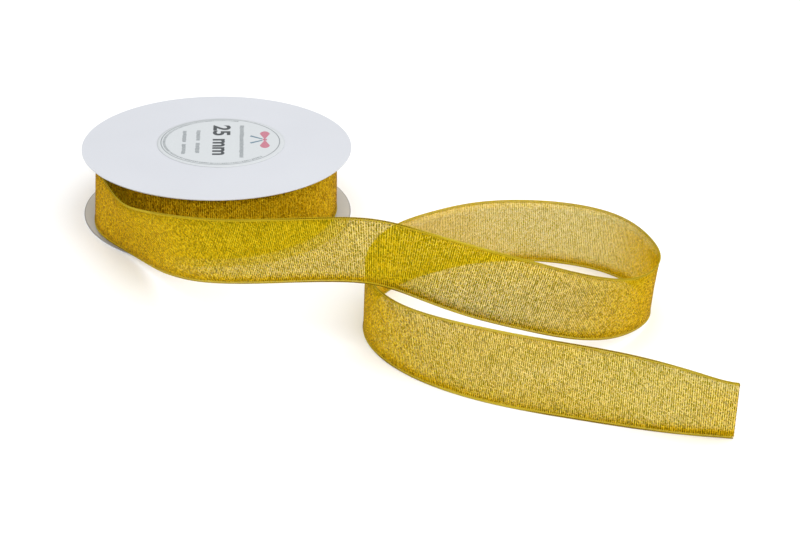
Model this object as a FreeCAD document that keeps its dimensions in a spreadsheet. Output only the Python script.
"""Ribbon spool: a card reel of 25 mm sheer metallic ribbon with its free end paid out.

Frame: millimetres, +Z up, origin on the reel's axis at the underside of its lower flange.
The reel lies flat and turns about Z. The free ribbon stands on its edge on the same surface.
"""
import math
import os

import FreeCAD
import Part
import Sketcher

Vector = FreeCAD.Vector

# ---------------------------------------------------------------- driving dimensions (mm, degrees)
SIZES = [
    ("ribbon_width", "25", "width of the ribbon, edge to edge"),
    ("ribbon_gauge", "0.3", "thickness given to the free ribbon's solids"),
    ("flange_diameter", "105", "both card discs"),
    ("flange_gauge", "0.5", "thickness of a card disc"),
    ("flange_edge", "0.12", "softened corner of a disc's rim"),
    ("edge_play", "0.85", "gap between the wound ribbon's edge and a disc"),
    ("core_bore", "40", "hole through the core and both discs"),
    ("core_outside", "46", "outside of the core tube"),
    ("winding_diameter", "92.8", "outside of the wound ribbon"),
    ("turn_clearance", "0.3", "between the winding and the last turn round it"),
    ("departure_angle", "176", "where the last turn leaves the reel, from +X"),
    ("seam_angle", "18", "gap between the last turn's start and its departure"),
    ("label_diameter", "50", "round paper label over the core's top end"),
    ("label_gauge", "0.12", "thickness of the label"),
    ("label_shift_x", "1.3", "the label is stuck on a little off the reel's axis"),
    ("label_shift_y", "2.8", "and a little back"),
    ("tape_angle", "50", "stretch of the core that the starting tape covers"),
    ("tape_gauge", "0.1", "thickness of the starting tape"),
    ("tape_width", "18", "height of the starting tape"),
]

# The free ribbon's lower edge, from where it leaves the reel to its cut end: x, y and z, and how
# far the ribbon leans to the left of its travel, in degrees. It climbs over the top edge of its
# own left turn, comes down to the surface, turns right, runs back, turns left and runs forward.
ROUTE = {
    "run_out": [
        (-43.2, -27.5, 1.6, 3), (-30, -45.7, 2, -10), (-17, -66.7, 5.5, -14), (-9.5, -81.2, 10, -10),
        (1, -94.2, 14.3, -3.5), (16, -103.2, 18.2, -2.5),
    ],
    "crossover": [(49, -113, 24.5, -3), (65, -118, 25.9, 0), (81, -125.5, 24, 6)],
    "loop_front": [
        (97, -130, 20.5, 9), (114, -129.5, 16, 3), (130, -124.5, 10.5, -5), (144.5, -115, 5.5, -11),
    ],
    "right_turn": [(156, -101.5, 2.3, -10), (163, -85, 0.5, -4), (161.5, -67, 0, 0), (152, -52, 0, -1)],
    "loop_back": [(136.5, -43.5, 0, -2), (119, -41, 0, -2), (101, -44, 0, -2), (85.5, -52.5, 0, -2)],
    "left_turn": [
        (72, -64.5, 0, -2), (63.5, -80, 0, -1), (60, -97.5, 0, 1), (63, -114, 0, 1), (72, -129.5, 0, 2),
    ],
    "end_run": [(100, -151, 0, 17), (134, -163, 0, 18), (169, -171, 0, -6), (182.5, -172.5, 0, -15)],
}
SECTION_STEP = 4.0      # largest distance between two sections of a free stretch


# ---------------------------------------------------------------- document and helpers
doc = FreeCAD.newDocument("ribbon_spool")
sheet = doc.addObject("Spreadsheet::Sheet", "sizes")
for row, (alias, value, note) in enumerate(SIZES, start=1):
    sheet.set(f"A{row}", alias)
    sheet.set(f"B{row}", value)
    sheet.set(f"C{row}", note)
    sheet.setAlias(f"B{row}", alias)
doc.recompute()


def size(alias):
    """A driving dimension as a plain number."""
    return float(sheet.get(alias))


def bind(obj, **expressions):
    """Bind an object's properties to the sheet; a double underscore stands for a dot."""
    for name, expression in expressions.items():
        obj.setExpression(name.replace("__", "."), expression)


def bound(names):
    """The expression with each driving dimension read from the sheet."""
    for alias, _, _ in SIZES:
        names = names.replace("<" + alias + ">", "sizes." + alias)
    return names


def origin_feature(body, role):
    """One of the body's own origin planes or axes."""
    return next(f for f in body.Origin.OriginFeatures if f.Role == role)


def turned_body(label, corners, base):
    """A body turned about Z from a closed profile whose corners are (radius, height) formulas."""
    body = doc.addObject("PartDesign::Body", label)
    body.Label = label
    sketch = body.newObject("Sketcher::SketchObject", label + "_profile")
    sketch.AttachmentSupport = [(origin_feature(body, "XZ_Plane"), "")]
    sketch.MapMode = "FlatFace"
    values = [(evaluate(r), evaluate(z)) for r, z in corners]
    count = len(values)
    for i, (r, z) in enumerate(values):
        following = values[(i + 1) % count]
        sketch.addGeometry(Part.LineSegment(Vector(r, z, 0), Vector(following[0], following[1], 0)), False)
    for i in range(count):
        sketch.addConstraint(Sketcher.Constraint("Coincident", i, 2, (i + 1) % count, 1))
    for i, (radius, height) in enumerate(corners):
        place_corner(sketch, i, "DistanceX", radius, values[i][0])
        place_corner(sketch, i, "DistanceY", height, values[i][1])
    revolution = body.newObject("PartDesign::Revolution", label + "_turned")
    revolution.Profile = sketch
    revolution.ReferenceAxis = (origin_feature(body, "Z_Axis"), [""])
    revolution.Angle = 360
    bind(body, Placement__Base__z=bound(base))
    return body


def place_corner(sketch, line, kind, formula, value):
    """Tie a line's first point to the sketch's origin along one direction."""
    if abs(value) < 1e-9:
        axis = -2 if kind == "DistanceX" else -1
        sketch.addConstraint(Sketcher.Constraint("PointOnObject", line, 1, axis))
        return
    index = sketch.addConstraint(Sketcher.Constraint(kind, -1, 1, line, 1, value))
    sketch.setExpression(f"Constraints[{index}]", bound(formula))


def evaluate(formula):
    """The value of a formula of driving dimensions."""
    value = sheet.evalExpression(bound(formula).replace("sizes.", ""))
    return float(value)


def cylinder(label, radius, height, base="0", angle="360", turn="0"):
    """A cylinder or sector of one, its sizes bound to the sheet."""
    solid = doc.addObject("Part::Cylinder", label)
    bind(
        solid, Radius=bound(radius), Height=bound(height), Angle=bound(angle),
        Placement__Base__z=bound(base))
    solid.Placement.Rotation = FreeCAD.Rotation(Vector(0, 0, 1), evaluate(turn))
    return solid


def cut(label, base, tool):
    """One solid less another."""
    result = doc.addObject("Part::Cut", label)
    result.Base = base
    result.Tool = tool
    result.Label = label
    return result


# ---------------------------------------------------------------- the reel
def make_flange(label, base):
    """A card disc with a hole for the spindle and softened corners at its rim."""
    rim = "<flange_diameter> / 2"
    bore = "<core_bore> / 2"
    corners = [
        (bore, "0 * <flange_gauge>"),
        (f"{rim} - <flange_edge>", "0 * <flange_gauge>"),
        (rim, "<flange_edge>"),
        (rim, "<flange_gauge> - <flange_edge>"),
        (f"{rim} - <flange_edge>", "<flange_gauge>"),
        (bore, "<flange_gauge>"),
    ]
    return turned_body(label, corners, base)


def make_core():
    """The tube that carries the winding, butted against both discs."""
    height = "<ribbon_width> + 2 * <edge_play>"
    corners = [
        ("<core_bore> / 2", "0 * <ribbon_width>"),
        ("<core_outside> / 2", "0 * <ribbon_width>"),
        ("<core_outside> / 2", height),
        ("<core_bore> / 2", height),
    ]
    return turned_body("core_tube", corners, "<flange_gauge>")


def make_label():
    """The paper disc over the core's top end."""
    corners = [
        ("0 * <label_diameter>", "0 * <label_gauge>"),
        ("<label_diameter> / 2", "0 * <label_gauge>"),
        ("<label_diameter> / 2", "<label_gauge>"),
        ("0 * <label_diameter>", "<label_gauge>"),
    ]
    body = turned_body("top_label", corners, "2 * <flange_gauge> + 2 * <edge_play> + <ribbon_width>")
    bind(body, Placement__Base__x=bound("<label_shift_x>"), Placement__Base__y=bound("<label_shift_y>"))
    return body


def make_start_tape():
    """The tape that holds the ribbon's inner end to the core."""
    base = "<flange_gauge> + <edge_play> + (<ribbon_width> - <tape_width>) / 2"
    outer = cylinder(
        "tape_outer", "<core_outside> / 2 + <tape_gauge>", "<tape_width>", base, "<tape_angle>")
    inner = cylinder("tape_inner", "<core_outside> / 2", "<tape_width>", base)
    return cut("start_tape", outer, inner)


def make_winding():
    """The wound ribbon, hollowed for the core and for the starting tape under its first turn."""
    base = "<flange_gauge> + <edge_play>"
    full = cylinder("winding_full", "<winding_diameter> / 2", "<ribbon_width>", base)
    core = cylinder("winding_core", "<core_outside> / 2", "<ribbon_width>", base)
    tape = cylinder(
        "winding_tape", "<core_outside> / 2 + <tape_gauge>", "<tape_width>",
        base + " + (<ribbon_width> - <tape_width>) / 2", "<tape_angle>")
    hollow = doc.addObject("Part::Fuse", "winding_hollow")
    hollow.Base = core
    hollow.Tool = tape
    return cut("ribbon_winding", full, hollow)


# ---------------------------------------------------------------- the free ribbon
def make_last_turn():
    """The last turn, which lies round the winding up to where the ribbon leaves it."""
    base = "<flange_gauge> + <edge_play>"
    inside = "<winding_diameter> / 2 + <turn_clearance>"
    outer = cylinder(
        "last_turn_outer", inside + " + <ribbon_gauge>", "<ribbon_width>", base, "360 - <seam_angle>",
        "<departure_angle> + <seam_angle>")
    inner = cylinder("last_turn_inner", inside, "<ribbon_width>", base)
    return cut("ribbon_last_turn", outer, inner)


def departure():
    """Where the last turn's middle leaves the reel: its lower corner and its direction."""
    radius = size("winding_diameter") / 2 + size("turn_clearance") + size("ribbon_gauge") / 2
    angle = math.radians(size("departure_angle"))
    base = size("flange_gauge") + size("edge_play")
    point = Vector(radius * math.cos(angle), radius * math.sin(angle), base)
    return point, Vector(-math.sin(angle), math.cos(angle), 0)


def section(point, along, lean):
    """The ribbon's cross-section: a thin rectangle square to its travel, standing on its lower edge."""
    along.normalize()
    upright = (Vector(0, 0, 1) - along * along.z).normalize()
    left = upright.cross(along)
    rise = upright * math.cos(lean) + left * math.sin(lean)
    across = along.cross(rise) * (size("ribbon_gauge") / 2)
    point.z = max(point.z, 0) + abs(across.z)
    top = point + rise * size("ribbon_width")
    return Part.makePolygon([point - across, point + across, top + across, top - across, point - across])


def make_free_stretches():
    """One solid for each stretch of the route, cut from one smooth run of sections."""
    start, heading = departure()
    points = [start]
    leans = [0.0]
    last_station = {}
    for name, stations in ROUTE.items():
        for x, y, z, lean in stations:
            points.append(Vector(x, y, z))
            leans.append(math.radians(lean))
        last_station[name] = len(points) - 1
    edge = Part.BSplineCurve()
    chords = [0.0]
    for previous, point in zip(points, points[1:]):
        chords.append(chords[-1] + previous.distanceToPoint(point))
    ending = (points[-1] - points[-2]).normalize()
    edge.interpolate(
        Points=points, Parameters=chords, InitialTangent=heading, FinalTangent=ending, Scale=False)
    lean_curve = Part.BSplineCurve()
    level = Vector(1, 0, 0)
    lean_curve.interpolate(
        Points=[Vector(c, lean, 0) for c, lean in zip(chords, leans)], Parameters=chords,
        InitialTangent=level, FinalTangent=level, Scale=False)
    print("free ribbon, lower edge:", round(edge.length(), 1), "mm")
    first = 0
    made = []
    for name, last in last_station.items():
        span = chords[last] - chords[first]
        steps = math.ceil(span / SECTION_STEP)
        sections = []
        for i in range(steps + 1):
            at = chords[first] + span * i / steps
            sections.append(section(edge.value(at), edge.tangent(at)[0], lean_curve.value(at).y))
        stretch = doc.addObject("Part::Feature", "ribbon_" + name)
        stretch.Label = "ribbon_" + name
        stretch.Shape = Part.makeLoft(sections, True, True)
        made.append(stretch)
        first = last
    return made


# ---------------------------------------------------------------- build, check and write
upper_base = "<flange_gauge> + 2 * <edge_play> + <ribbon_width>"
sub_parts = [
    make_flange("lower_flange", "0 * <flange_gauge>"),
    make_flange("upper_flange", upper_base),
    make_core(),
    make_label(),
    make_start_tape(),
    make_winding(),
    make_last_turn(),
]
sub_parts += make_free_stretches()
doc.recompute()

for obj in doc.Objects:
    if "Invalid" in obj.State or "Error" in obj.State:
        raise RuntimeError(f"{obj.Name} failed to build: {obj.State}")
os.makedirs("parts", exist_ok=True)
for obj in sub_parts:
    if obj.Shape.isNull() or not obj.Shape.isValid():
        raise RuntimeError(f"{obj.Label} has no valid shape")
    obj.Shape.exportStep(os.path.join("parts", obj.Label + ".step"))
    print(f"{obj.Label}: {len(obj.Shape.Solids)} solid, {obj.Shape.Volume:.1f} mm3")
